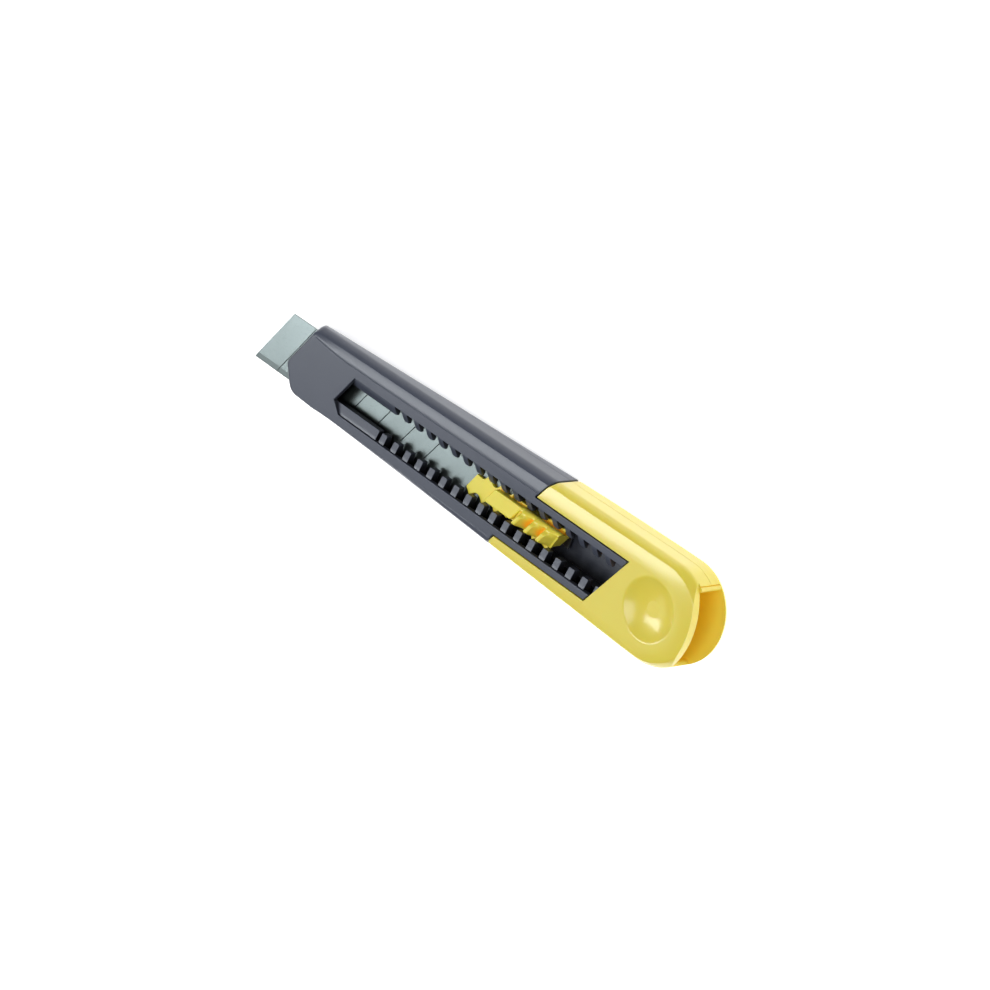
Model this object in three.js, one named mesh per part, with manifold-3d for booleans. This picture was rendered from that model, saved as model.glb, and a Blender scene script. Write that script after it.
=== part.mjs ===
// Snap-off knife with a breakable 18 mm blade, millimetres, +Z up.
//
// The knife lies on its flat back: +X runs from the blade tip to the rounded rear end,
// +Y points from the cutting edge to the spine, +Z is the window side that faces the user.
// Lengths along the knife are given as the distance behind the blade tip, see along().
import * as THREE from 'three';
import { mergeVertices } from 'three/addons/utils/BufferGeometryUtils.js';
import Module from 'manifold-3d';

const wasm = await Module();
wasm.setup();

// ---------------------------------------------------------------- driving dimensions
const rearArcCentre = 163.8;        // centre of the rounded rear end, behind the blade tip
const faceHeight = 11.7;            // window face above the flat back
const bladeHeight = 7;              // middle of the blade above the flat back
const snapSlope = 1 / Math.tan(THREE.MathUtils.degToRad(60));   // score lines, seam and window ends
const fit = 0.3;                    // clearance between neighbouring pieces

// outer form: +1 is the spine side, -1 the cutting edge side, measured from the middle of the window
const noseStart = 15.6;             // nose edge on the centre line, at blade height
const noseRake = 0.5;               // the nose leans back towards the window face
const noseCornerStart = -1.7;      // where the straight nose edge turns into the cut corner
const noseCornerEnd = 3.3;         // where the cut corner meets the side, behind the nose edge
const spineSideHalf = 12.75;        // half width 40 mm behind the blade tip
const spineSideTaper = 0.0175;
const edgeSideHalf = 9.1;           // half width 14 mm behind the blade tip
const edgeSideTaper = 0.0335;
const taperEase = 8;                // the sides stop widening over this length before the rear end
const rearLean = 0.075;             // the rear end leans back towards the spine side
const faceHalfWidth = 8.6;          // flat face beside the window
const faceNarrowest = 41;
const faceTaper = 0.0105;
const faceFlareLength = 17.5;
const faceFlare = 1.4;              // the flat face widens again at the nose
const thinnestShoulder = 0.7;
const islandArcCentre = 162.3;      // rear end of the raised flat face
const facetReach = 1.45;            // steep facet between the gently sloping band and the side
const sideCutSlope = 0.6;           // the lower side leans in below a line that sinks to the rear
const sideCutHeight = 6.1;          // that line 40 mm behind the blade tip
const sideCutFall = 0.06;
const edgeSideCutLower = 2;
const backEdgeRadius = 1.1;

// rows of the steep facet: share of its reach in from the side, height above the back
const facetProfile = [[1, 11.42], [0.72, 10.95], [0.4, 10.2], [0.14, 9.5], [0, 8.75]];

// window, racks and channel in the body
const windowHalfWidth = 5.97;
const windowFront = 40.4;           // slanted front edge on the centre line
const windowCornerCut = 2.9;        // where the front edge turns back towards the lower lip
const windowRear = 147;
const lipThickness = 1.2;
const stripHalfWidth = 7.95;        // raised strips that frame the window inside the rear cover
const rackHalfWidth = 7.3;
const rackFront = 38;
const rackFoot = 3.9;               // half of the gap between the rack bars at their feet
const rackFootHeight = bladeHeight + 1.6;
const lowRackFoot = 3.65;           // the bars on the edge side end upright, with nearly level tops
const lowRackEnd = bladeHeight + 3.6;
const lowRackRoot = bladeHeight + 4.1;
const ledgeEnd = 56.2;              // the plain ledge ahead of the first rack gap
const firstBar = 59.63;
const barPitch = 5;
const barWidth = 2.1;
const barCount = 18;
const bladeSlotHalfHeight = 0.6;
const slotEdgeSide = -8.8;
const slotSpineSide = 9.85;
const keelWayHalfWidth = 6;
const floorHeight = 2.4;
const seamCentre = 112.05;          // seam between body and rear cover on the centre line
const tongueEnd = 153.2;
const tongueBottom = 1.4;
const tongueHalfWidth = 10.55;
const tongueShoulderHeight = bladeHeight + 1.6;
const tongueTopHalfWidth = 9.6;
const tongueTop = faceHeight - 1.5;

// rear cover
const thumbDishRadius = 8.3;
const thumbDishDepth = 2.2;
const thumbDishShift = 0.4;
const coverWall = 1.3;
const mouthHalfAngle = 53.9;        // the wall ends beside the mouth, in degrees from the rear
const mouthFloor = 1.2;
const mouthRoof = bladeHeight + 1.8;
const frontLipArcCentre = 153.5;    // the front wall ends in a flat arc over the mouth
const frontLipArcRadius = 22.1;

// blade
const bladeWidth = 18;
const bladeThickness = 0.5;
const bladeLength = 100;
const bladeEdgeY = -8.5;            // cutting edge, measured from the centre line
const segmentPitch = 10;
const scoredSegments = 7;
const scoreGap = 0.35;
const bevelWidth = 2.6;
const edgeThickness = 0.06;
const pegHole = 98.5;
const pegHoleRadius = 2.6;
const pegRadius = 2.2;

// slider: blade carrier, thumb grip and lock spring
const plateBottom = bladeHeight + 0.55;
const plateTop = bladeHeight + 1.35;
const carrierFront = 91.7;
const firstCarrierTooth = 92.8;
const gripTooth = 122.8;
const toothReach = 4.6;
const toothRoot = 3.4;
const barHalfWidth = 2.2;
const carrierBarFront = 100.7;
const carrierBarTop = bladeHeight + 3.1;
const splitCentre = 111.4;          // where the thumb grip follows on from the carrier
const keelFront = 107.2;
const keelHalfWidth = 3;
const keelBottom = bladeHeight - 2.4;
const gripHalfWidth = 3.25;
const gripFoot = bladeHeight - 1.3;
const gripRear = 130;
const gripCrest = bladeHeight + 5.3;
const gripValley = bladeHeight + 3.6;
const gripRidgePitch = 4.6;
const gripRidges = 3;
const firstRidge = 114.1;
const springThickness = 0.4;
const springHalfWidth = 2.6;
const springFront = 107.6;
const springRear = 126.4;
const springTop = bladeHeight - 2.75;
const springDip = 1.25;

const sideHalfWidth = (behindTip, side) => {
  const late = Math.max(0, Math.min(behindTip, rearArcCentre) - (rearArcCentre - taperEase));
  const eased = Math.min(behindTip, rearArcCentre) - (late * late) / (2 * taperEase);
  if (side > 0) {
    return spineSideHalf + spineSideTaper * (eased - 40);
  }
  return edgeSideHalf + edgeSideTaper * (eased - 14);
};
const rearHigh = sideHalfWidth(rearArcCentre, 1);
const rearLow = sideHalfWidth(rearArcCentre, -1);
const rearArcRadius = (rearHigh + rearLow) / 2;
const rearShift = (rearHigh - rearLow) / 2;     // middle of the greatest width from the window's middle
const overallLength = rearArcCentre + Math.hypot(rearArcRadius, rearLean * rearHigh);

// ---------------------------------------------------------------- helpers
const along = (behindTip) => behindTip - overallLength / 2;
const slanted = (behindTip, y) => along(behindTip) + y * snapSlope;

function toSolid(geometry) {
  const bare = geometry.clone();
  bare.deleteAttribute('normal');
  bare.deleteAttribute('uv');
  const merged = mergeVertices(bare, 1e-4);
  const mesh = new wasm.Mesh({
    numProp: 3,
    vertProperties: new Float32Array(merged.attributes.position.array),
    triVerts: new Uint32Array(merged.index.array),
  });
  return new wasm.Manifold(mesh);
}

function toGeometry(solid) {
  const mesh = solid.getMesh();
  const geometry = new THREE.BufferGeometry();
  geometry.setAttribute('position', new THREE.BufferAttribute(mesh.vertProperties, 3));
  geometry.setIndex(new THREE.BufferAttribute(mesh.triVerts, 1));
  geometry.computeVertexNormals();
  return geometry;
}

function movePoints(geometry, move) {
  const position = geometry.attributes.position;
  for (let i = 0; i < position.count; i += 1) {
    const moved = move(position.getX(i), position.getY(i), position.getZ(i));
    position.setXYZ(i, moved[0], moved[1], moved[2]);
  }
  return geometry;
}

function outline(points) {
  return new THREE.Shape(points.map(([a, b]) => new THREE.Vector2(a, b)));
}

// an outline seen from above, raised from one height to another
function upright(shape, bottom, top, curveSegments = 12) {
  const depth = top - bottom;
  const geometry = new THREE.ExtrudeGeometry(shape, { depth, curveSegments, bevelEnabled: false });
  return geometry.translate(0, 0, bottom);
}

// an outline across the knife (y, z), drawn out along X from front to rear
function lengthwise(shape, front, rear) {
  const geometry = new THREE.ExtrudeGeometry(shape, { depth: rear - front, bevelEnabled: false });
  return movePoints(geometry, (a, b, c) => [front + c, a, b]);
}

// an outline seen from the side (x, z), drawn out across the knife and slanted like the score lines
function crosswise(shape, halfWidth, curveSegments = 8) {
  const settings = { depth: 2 * halfWidth, curveSegments, bevelEnabled: false };
  const geometry = new THREE.ExtrudeGeometry(shape, settings);
  return movePoints(geometry, (a, b, c) => {
    const y = halfWidth - c;
    return [a + y * snapSlope, y, b];
  });
}

// a rectangle across the knife
function crossBox(yLow, yHigh, zLow, zHigh) {
  return outline([[yLow, zLow], [yHigh, zLow], [yHigh, zHigh], [yLow, zHigh]]);
}

function slantedEdge(behindTip, y) {
  return [slanted(behindTip, y), y];
}

// plan of a bar whose two ends are slanted like the score lines
function slantedPlan(front, rear, yLow, yHigh) {
  return outline([
    slantedEdge(front, yLow), slantedEdge(rear, yLow), slantedEdge(rear, yHigh), slantedEdge(front, yHigh),
  ]);
}

function piece(name, geometry, finish) {
  const mesh = new THREE.Mesh(geometry, new THREE.MeshStandardMaterial(finish));
  mesh.name = name;
  return mesh;
}

// ---------------------------------------------------------------- outer form of body and cover
function faceEdge(behindTip, side) {
  const ahead = Math.max(0, faceNarrowest - behindTip) / faceFlareLength;
  const behind = Math.max(0, behindTip - faceNarrowest);
  const edge = faceHalfWidth + faceFlare * ahead * ahead + faceTaper * behind;
  return Math.min(edge, sideHalfWidth(behindTip, side) - thinnestShoulder);
}

// rows of one side from the edge of the flat face down to the back: distance from the middle, height
function outerRows(behindTip, side) {
  const outer = sideHalfWidth(behindTip, side);
  const edge = faceEdge(behindTip, side);
  const reach = Math.min(facetReach, 0.7 * (outer - edge));
  const lowered = side > 0 ? 0 : edgeSideCutLower;
  const cutStart = sideCutHeight - sideCutFall * (behindTip - 40) - lowered;
  const leanIn = (height) => sideCutSlope * Math.max(0, cutStart - height);
  return [
    [edge, faceHeight],
    ...facetProfile.map(([share, height]) => [outer - share * reach, height]),
    [outer, Math.min(8, Math.max(cutStart, backEdgeRadius + 0.4))],
    [outer - leanIn(backEdgeRadius), backEdgeRadius],
    [outer - leanIn(0.3) - 0.3 * backEdgeRadius, 0.3],
    [outer - leanIn(0) - backEdgeRadius, 0],
  ];
}

function outerSection(behindTip) {
  const spineSide = outerRows(behindTip, 1);
  const edgeSide = outerRows(behindTip, -1).map(([y, z]) => [-y, z]).reverse();
  return [...spineSide, ...edgeSide];
}

// joins the outer sections at a row of stations into one closed form
function outerLoft(stations) {
  const sections = stations.map(outerSection);
  const first = sections[0];
  const steps = stations.length - 1;
  const settings = { depth: 1, steps, bevelEnabled: false };
  const geometry = new THREE.ExtrudeGeometry(outline(first), settings);
  return movePoints(geometry, (a, b, c) => {
    const station = Math.round(c * steps);
    const corner = first.findIndex(([y, z]) => Math.hypot(y - a, z - b) < 1e-3);
    const [y, z] = sections[station][corner];
    return [along(stations[station]), y, z];
  });
}

// the rounded rear end: every row of the sides becomes a ring with its own centre
function rearEnd() {
  const high = outerRows(rearArcCentre, 1);
  const low = outerRows(rearArcCentre, -1);
  const edge = high[0][0];
  const rings = high.map(([y, height], i) => ({
    high: y,
    low: low[i][0],
    radius: (y + low[i][0]) / 2,
    height,
    share: Math.min(1, (y - edge) / (rearHigh - backEdgeRadius - edge)),
  }));
  const profile = [
    new THREE.Vector2(0, faceHeight),
    ...rings.map((ring) => new THREE.Vector2(ring.radius, ring.height)),
    new THREE.Vector2(0, 0),
  ].reverse();
  const geometry = new THREE.LatheGeometry(profile, 64);
  return movePoints(geometry, (x, y, z) => {
    const radius = Math.hypot(x, z);
    const near = (ring) => Math.abs(ring.radius - radius) < 1e-3 && Math.abs(ring.height - y) < 1e-3;
    const ring = rings.find(near) ?? { high: 1, low: 1, radius: 1, share: y > 1 ? 0 : 1 };
    const across = (x * (x > 0 ? ring.high : ring.low)) / ring.radius;
    const centre = islandArcCentre + ring.share * (rearArcCentre - islandArcCentre);
    return [along(centre) + z + ring.share * rearLean * across, across, y];
  });
}

function stationsBetween(front, rear, count) {
  return Array.from({ length: count + 1 }, (_, i) => front + (i * (rear - front)) / count);
}

// ---------------------------------------------------------------- body
function noseToSeamPlan() {
  const far = 30;
  const edgeSide = sideHalfWidth(noseStart, -1);
  const spineSide = sideHalfWidth(noseStart, 1);
  const spineCorner = slantedEdge(noseStart, spineSide - 1);
  const cornerX = along(noseStart + noseCornerEnd);
  return outline([
    spineCorner,
    slantedEdge(noseStart, noseCornerStart + 0.3),
    [slanted(noseStart, noseCornerStart) + 0.3, noseCornerStart - 0.5],
    [cornerX - 0.7, 1.2 - edgeSide],
    [cornerX + 1.8, -0.05 - edgeSide],
    [cornerX + far, -edgeSide - far / 6],
    slantedEdge(seamCentre, -far),
    slantedEdge(seamCentre, far),
    [cornerX + far, far],
    [spineCorner[0] + 1.8, spineSide + 0.5],
  ]);
}

function tongueSection() {
  const half = [
    [tongueTopHalfWidth, tongueTop], [tongueTopHalfWidth, tongueShoulderHeight],
    [tongueHalfWidth, tongueShoulderHeight], [tongueHalfWidth, tongueBottom],
  ];
  return outline([...half, ...half.map(([y, z]) => [-y, z]).reverse()]);
}

function windowPlan() {
  return outline([
    slantedEdge(windowFront, windowHalfWidth), slantedEdge(windowFront, -windowCornerCut),
    [slanted(windowFront, -windowCornerCut) + 3.2, -windowHalfWidth],
    [along(tongueEnd) + 5, -windowHalfWidth], [along(tongueEnd) + 5, windowHalfWidth],
  ]);
}

// a rack bar: on the spine side it slopes from the window lip down to its foot just above the blade
function rackBar(front, rear, side) {
  const root = rackHalfWidth + 0.2;
  const steep = [
    [root, rackFootHeight], [rackFoot, rackFootHeight],
    [windowHalfWidth, faceHeight - 0.05], [root, faceHeight - 0.05],
  ];
  const level = [
    [root, rackFootHeight], [lowRackFoot, rackFootHeight], [lowRackFoot, lowRackEnd],
    [windowHalfWidth, lowRackRoot], [root, lowRackRoot],
  ];
  const points = (side > 0 ? steep : level).map(([y, z]) => [side * y, z]);
  return toSolid(lengthwise(outline(points), along(front), along(rear)));
}

function bodyShell() {
  const stations = [8, 14, 17, 20, 23.5, 27, 31, 36, 41, 60, 80, 100, 125];
  const rakedNose = movePoints(upright(noseToSeamPlan(), -1, faceHeight + 1), (x, y, z) => {
    const nearNose = THREE.MathUtils.clamp((along(60) - x) / 30, 0, 1);
    return [x + nearNose * noseRake * (z - bladeHeight), y, z];
  });
  let body = toSolid(outerLoft(stations)).intersect(toSolid(rakedNose));

  const tongueFront = along(90);
  body = body.add(toSolid(lengthwise(tongueSection(), tongueFront, along(tongueEnd))));
  for (const side of [-1, 1]) {
    const yLow = Math.min(side * windowHalfWidth, side * stripHalfWidth);
    const yHigh = Math.max(side * windowHalfWidth, side * stripHalfWidth);
    const strip = upright(slantedPlan(100, windowRear - fit, yLow, yHigh), tongueTop - 1, faceHeight);
    body = body.add(toSolid(strip));
  }

  const slotBottom = bladeHeight - bladeSlotHalfHeight;
  const slotTop = bladeHeight + bladeSlotHalfHeight;
  const pastRear = along(tongueEnd) + 5;
  const bladeSlot = lengthwise(crossBox(slotEdgeSide, slotSpineSide, slotBottom, slotTop), along(0), pastRear);
  const rackTop = faceHeight - lipThickness;
  const rackWay = lengthwise(crossBox(-rackHalfWidth, rackHalfWidth, slotTop - 0.1, rackTop),
    along(rackFront), pastRear);
  const keelWay = lengthwise(crossBox(-keelWayHalfWidth, keelWayHalfWidth, floorHeight, slotTop - 0.1),
    along(rackFront), pastRear);
  const window = upright(windowPlan(), rackTop - 0.1, faceHeight + 1);
  for (const way of [bladeSlot, rackWay, keelWay, window]) {
    body = body.subtract(toSolid(way));
  }

  for (const side of [-1, 1]) {
    body = body.add(rackBar(rackFront - 0.5, ledgeEnd, side));
    for (let i = 0; i < barCount; i += 1) {
      const middle = firstBar + i * barPitch;
      body = body.add(rackBar(middle - barWidth / 2, middle + barWidth / 2, side));
    }
  }
  // strips and racks stay below the face of the rear cover behind the end of the window
  const underCover = slantedPlan(windowRear - fit, tongueEnd + 20, -stripHalfWidth, stripHalfWidth);
  body = body.subtract(toSolid(upright(underCover, tongueTop, faceHeight + 1)));
  // the ledge starts at the slanted front edge of the window
  const frontNotch = slantedPlan(windowFront - 12, windowFront, -windowCornerCut, windowHalfWidth);
  return body.subtract(toSolid(upright(frontNotch, slotTop - 0.1, rackTop - 0.1)));
}

// ---------------------------------------------------------------- rear cover
function coverSeamPlan() {
  const far = 30;
  return outline([
    slantedEdge(seamCentre + fit, -far), [along(overallLength) + far, -far],
    [along(overallLength) + far, far], slantedEdge(seamCentre + fit, far),
  ]);
}

// plan of the hollow behind the body: straight sides and a round rear end
function hollowPlan(front) {
  const inner = rearArcRadius - coverWall;
  const shape = new THREE.Shape();
  shape.moveTo(along(front), coverWall - sideHalfWidth(front, -1));
  shape.lineTo(along(rearArcCentre), rearShift - inner);
  shape.absarc(along(rearArcCentre), rearShift, inner, -Math.PI / 2, Math.PI / 2, false);
  shape.lineTo(along(front), sideHalfWidth(front, 1) - coverWall);
  return shape;
}

// plan of the gap in the round wall through which snapped segments leave
function mouthPlan() {
  const far = 40;
  const angle = THREE.MathUtils.degToRad(mouthHalfAngle);
  const reach = [far * Math.cos(angle), far * Math.sin(angle)];
  const middle = [along(rearArcCentre), rearShift];
  return outline([
    middle, [middle[0] + reach[0], middle[1] - reach[1]], [middle[0] + reach[0], middle[1] + reach[1]],
  ]);
}

// the rounded ends of the wall beside the mouth
function wallEnd(side) {
  const radius = coverWall / 2;
  const angle = side * THREE.MathUtils.degToRad(mouthHalfAngle);
  const reach = rearArcRadius - radius;
  const pin = new THREE.CylinderGeometry(radius, radius, mouthRoof - mouthFloor + 0.4, 12).rotateX(Math.PI / 2);
  const x = along(rearArcCentre) + reach * Math.cos(angle) + rearLean * reach * Math.sin(angle);
  return toSolid(pin.translate(x, rearShift + reach * Math.sin(angle), (mouthRoof + mouthFloor) / 2));
}

// plan of the part of the front wall that is cut back behind a flat arc
function frontLipPlan() {
  const far = 5;
  const reach = THREE.MathUtils.degToRad(40);
  const shape = new THREE.Shape();
  shape.absarc(along(frontLipArcCentre), rearShift, frontLipArcRadius, -reach, reach, false);
  shape.lineTo(along(overallLength) + far, rearHigh + far);
  shape.lineTo(along(overallLength) + far, -rearLow - far);
  return shape;
}

function rearCover() {
  const loft = outerLoft(stationsBetween(98, rearArcCentre, 8));
  let cover = toSolid(loft).add(toSolid(rearEnd()));
  cover = cover.intersect(toSolid(upright(coverSeamPlan(), -1, faceHeight + 1)));

  const socketRear = along(tongueEnd + 0.4);
  const socketFront = along(90);
  const upper = crossBox(-tongueTopHalfWidth - fit, tongueTopHalfWidth + fit, tongueBottom, tongueTop + fit);
  const lowerHalf = tongueHalfWidth + fit;
  const lower = crossBox(-lowerHalf, lowerHalf, tongueBottom - fit, tongueShoulderHeight + fit);
  cover = cover.subtract(toSolid(lengthwise(upper, socketFront, socketRear)));
  cover = cover.subtract(toSolid(lengthwise(lower, socketFront, socketRear)));

  const cutHalfWidth = stripHalfWidth + fit;
  const windowCut = slantedPlan(seamCentre - 20, windowRear, -cutHalfWidth, cutHalfWidth);
  cover = cover.subtract(toSolid(upright(windowCut, tongueTop, faceHeight + 1)));

  cover = cover.subtract(toSolid(upright(hollowPlan(tongueEnd - 3), mouthFloor, mouthRoof, 24)));
  cover = cover.subtract(toSolid(upright(mouthPlan(), mouthFloor, mouthRoof)));
  cover = cover.add(wallEnd(-1)).add(wallEnd(1));
  cover = cover.subtract(toSolid(upright(frontLipPlan(), mouthRoof - 0.1, faceHeight + 1, 20)));

  const dishSphere = (thumbDishRadius ** 2 + thumbDishDepth ** 2) / (2 * thumbDishDepth);
  const bowlHalfAngle = Math.asin(thumbDishRadius / dishSphere) * 1.25;
  const bowl = Array.from({ length: 9 }, (_, i) => {
    const angle = (i / 8) * bowlHalfAngle;
    return new THREE.Vector2(dishSphere * Math.sin(angle), dishSphere * (1 - Math.cos(angle)));
  });
  const bowlTop = new THREE.Vector2(0, bowl[8].y);
  const dish = new THREE.LatheGeometry([...bowl, bowlTop], 40).rotateX(Math.PI / 2);
  dish.translate(along(islandArcCentre), thumbDishShift, faceHeight - thumbDishDepth);
  return cover.subtract(toSolid(dish));
}

// ---------------------------------------------------------------- blade
// one stretch of the blade between two score lines, with its ground cutting edge
function bladeStretch(front, rear) {
  const half = bladeThickness / 2;
  const section = outline([
    [0, -edgeThickness / 2], [bevelWidth, -half], [bladeWidth, -half],
    [bladeWidth, half], [bevelWidth, half], [0, edgeThickness / 2],
  ]);
  return movePoints(lengthwise(section, front, rear), (x, y, z) => (
    [along(x + y * snapSlope), y + bladeEdgeY, z + bladeHeight]
  ));
}

function bladeTail() {
  const tail = toSolid(bladeStretch(scoredSegments * segmentPitch + scoreGap / 2, bladeLength));
  const hole = new THREE.CylinderGeometry(pegHoleRadius, pegHoleRadius, 4, 32).rotateX(Math.PI / 2);
  return tail.subtract(toSolid(hole.translate(along(pegHole), 0, bladeHeight)));
}

// ---------------------------------------------------------------- slider
// plan of a thin plate with pointed lock teeth on both sides and hollow flanks between them
function toothedPlan(front, rear, firstTooth) {
  const flank = (from, to, side) => {
    const points = [];
    for (let i = 1; i <= 4; i += 1) {
      const t = i / 4;
      const hollow = toothReach - (toothReach - toothRoot) * Math.sin(Math.PI * t) ** 0.6;
      points.push([along(from + t * (to - from)), side * hollow]);
    }
    return points;
  };
  const row = (side) => {
    const start = front + side * toothRoot * snapSlope;
    const points = [[along(start), side * toothRoot]];
    for (let tooth = firstTooth; tooth < rear; tooth += barPitch) {
      const clear = tooth - 1.3 > start;
      if (clear) {
        const last = points[points.length - 1];
        if (last[0] < along(tooth - 1.5)) {
          points.push([along(tooth - 1.3), side * (toothRoot + 0.1)]);
        }
        points.push([along(tooth), side * toothReach]);
        const next = Math.min(tooth + barPitch, rear + 2);
        if (tooth + barPitch < rear) {
          points.push(...flank(tooth, next, side).slice(0, 3));
        } else {
          points.push([along(tooth + 1.3), side * (toothRoot + 0.1)]);
        }
      }
    }
    points.push([along(rear), side * toothRoot]);
    return points;
  };
  return outline([...row(-1), ...row(1).reverse()]);
}

function bladeCarrier() {
  const rear = splitCentre - fit;
  let carrier = toSolid(upright(toothedPlan(carrierFront, 104.6, firstCarrierTooth), plateBottom, plateTop));
  const bar = slantedPlan(carrierBarFront, rear, -barHalfWidth, barHalfWidth);
  carrier = carrier.add(toSolid(upright(bar, plateBottom, carrierBarTop)));
  const backPlate = slantedPlan(103, rear, -toothRoot, toothRoot);
  carrier = carrier.add(toSolid(upright(backPlate, plateBottom, plateTop)));
  const keel = outline([
    [along(keelFront), -keelHalfWidth], slantedEdge(rear, -keelHalfWidth),
    slantedEdge(rear, keelHalfWidth), [along(keelFront), keelHalfWidth],
  ]);
  carrier = carrier.add(toSolid(upright(keel, keelBottom, plateTop)));
  const peg = new THREE.CylinderGeometry(pegRadius, pegRadius, 1.9, 28).rotateX(Math.PI / 2);
  return carrier.add(toSolid(peg.translate(along(pegHole), 0, bladeHeight + 0.05)));
}

// side view of the grip: three round ridges, then a slope down to the rear plate
function gripOutline() {
  const shape = new THREE.Shape();
  const front = splitCentre;
  shape.moveTo(along(front), gripFoot);
  shape.lineTo(along(front), carrierBarTop);
  for (let i = 0; i < gripRidges; i += 1) {
    const crest = firstRidge + i * gripRidgePitch;
    shape.lineTo(along(crest - 1.9), gripValley);
    shape.quadraticCurveTo(along(crest - 1.3), gripCrest, along(crest), gripCrest);
    shape.quadraticCurveTo(along(crest + 1.7), gripCrest, along(crest + 2.2), gripValley);
  }
  const lastCrest = firstRidge + (gripRidges - 1) * gripRidgePitch;
  shape.lineTo(along(lastCrest + 2.9), plateTop - 0.2);
  shape.lineTo(along(lastCrest + 2.9), gripFoot);
  return shape;
}

function thumbGrip() {
  let grip = toSolid(crosswise(gripOutline(), gripHalfWidth, 5));
  const plate = toSolid(upright(toothedPlan(119, gripRear, gripTooth), plateBottom, plateTop));
  grip = grip.add(plate);
  return grip;
}

// bowed leaf spring under the thumb grip
function lockSpring() {
  const shape = new THREE.Shape();
  const middle = (springFront + springRear) / 2;
  const low = springTop - 2 * springDip;
  shape.moveTo(along(springFront), springTop);
  shape.lineTo(along(springFront + 2.6), springTop);
  shape.quadraticCurveTo(along(middle + 1.5), low, along(springRear), springTop - 0.2);
  shape.lineTo(along(springRear), springTop - 0.2 - springThickness);
  shape.quadraticCurveTo(along(middle + 1.5), low - springThickness,
    along(springFront + 2.4), springTop - springThickness);
  shape.lineTo(along(springFront), springTop - springThickness);
  const settings = { depth: 2 * springHalfWidth, curveSegments: 16, bevelEnabled: false };
  const geometry = new THREE.ExtrudeGeometry(shape, settings);
  return movePoints(geometry, (a, b, c) => [a, springHalfWidth - c, b]);
}

// ---------------------------------------------------------------- assembly
const darkPlastic = { color: 0x5a5e69, roughness: 0.55, metalness: 0 };
const yellowPlastic = { color: 0xe3d24a, roughness: 0.4, metalness: 0 };
const sliderPlastic = { color: 0xe8cf3c, roughness: 0.42, metalness: 0 };
const bladeSteel = { color: 0xb4bec0, roughness: 0.3, metalness: 1 };
const springSteel = { color: 0x9aa0a4, roughness: 0.35, metalness: 1 };

const knife = new THREE.Group();
knife.position.y = -rearShift;
knife.add(piece('body_shell', toGeometry(bodyShell()), darkPlastic));
knife.add(piece('rear_cover', toGeometry(rearCover()), yellowPlastic));
for (let i = 0; i < scoredSegments; i += 1) {
  const front = i * segmentPitch + (i > 0 ? scoreGap / 2 : 0);
  const rear = (i + 1) * segmentPitch - scoreGap / 2;
  knife.add(piece(`blade_segment_${i + 1}`, bladeStretch(front, rear), bladeSteel));
}
knife.add(piece('blade_tail', toGeometry(bladeTail()), bladeSteel));
knife.add(piece('blade_carrier', toGeometry(bladeCarrier()), sliderPlastic));
knife.add(piece('thumb_grip', toGeometry(thumbGrip()), sliderPlastic));
knife.add(piece('lock_spring', lockSpring(), springSteel));

export default knife;
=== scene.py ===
"""Snap-off knife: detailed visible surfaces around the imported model.

Shapes are worked out in millimetres: x behind the blade tip, y from the centre line towards the
spine of the blade, z above the middle plane of the blade. place() turns that into the shared frame.
"""

import math

import bmesh
import bpy
from mathutils import Matrix, Vector


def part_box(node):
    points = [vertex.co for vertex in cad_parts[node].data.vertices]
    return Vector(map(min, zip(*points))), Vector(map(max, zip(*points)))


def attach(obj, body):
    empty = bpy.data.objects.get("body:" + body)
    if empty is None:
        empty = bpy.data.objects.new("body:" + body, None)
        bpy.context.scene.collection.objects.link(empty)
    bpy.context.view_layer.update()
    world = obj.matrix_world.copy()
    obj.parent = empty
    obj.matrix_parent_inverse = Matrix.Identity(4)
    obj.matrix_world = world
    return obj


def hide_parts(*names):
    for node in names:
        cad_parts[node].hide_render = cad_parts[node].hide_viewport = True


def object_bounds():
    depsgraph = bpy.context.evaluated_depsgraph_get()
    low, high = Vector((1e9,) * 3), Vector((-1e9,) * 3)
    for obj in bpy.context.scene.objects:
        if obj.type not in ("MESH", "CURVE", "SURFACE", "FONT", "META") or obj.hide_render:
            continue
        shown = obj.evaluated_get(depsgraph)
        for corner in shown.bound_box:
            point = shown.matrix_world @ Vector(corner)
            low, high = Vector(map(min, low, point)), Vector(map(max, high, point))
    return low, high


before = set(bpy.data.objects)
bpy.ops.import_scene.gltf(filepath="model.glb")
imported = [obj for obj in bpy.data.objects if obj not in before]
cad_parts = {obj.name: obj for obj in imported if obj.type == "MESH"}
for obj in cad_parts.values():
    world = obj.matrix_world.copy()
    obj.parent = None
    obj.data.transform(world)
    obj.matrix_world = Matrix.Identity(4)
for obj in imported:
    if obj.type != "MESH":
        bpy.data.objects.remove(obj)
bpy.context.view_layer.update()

MM = 0.001
body_low, body_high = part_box("body_shell")
blade_low, blade_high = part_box("blade_segment_1")
TIP_X = blade_low.x
BLADE_EDGE = -8.5                            # cutting edge from the centre line of the window
MIDDLE_Y = blade_low.y - BLADE_EDGE * MM
BLADE_Z = (blade_low.z + blade_high.z) / 2
FACE = (body_high.z - BLADE_Z) / MM          # window face, 4.7 above the blade
BACK = (body_low.z - BLADE_Z) / MM           # flat back, 7 below the blade
SLOPE = 1 / math.tan(math.radians(60))       # score lines, seam and window ends lean alike

# Steepest turn between two faces that is still shaded smooth, in degrees
SMOOTH_TURN = 32
RACK_TURN = 38
GRIP_TURN = 40
BLADE_TURN = 3


def place(x, y, z):
    return (TIP_X + x * MM, MIDDLE_Y + y * MM, BLADE_Z + z * MM)


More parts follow.
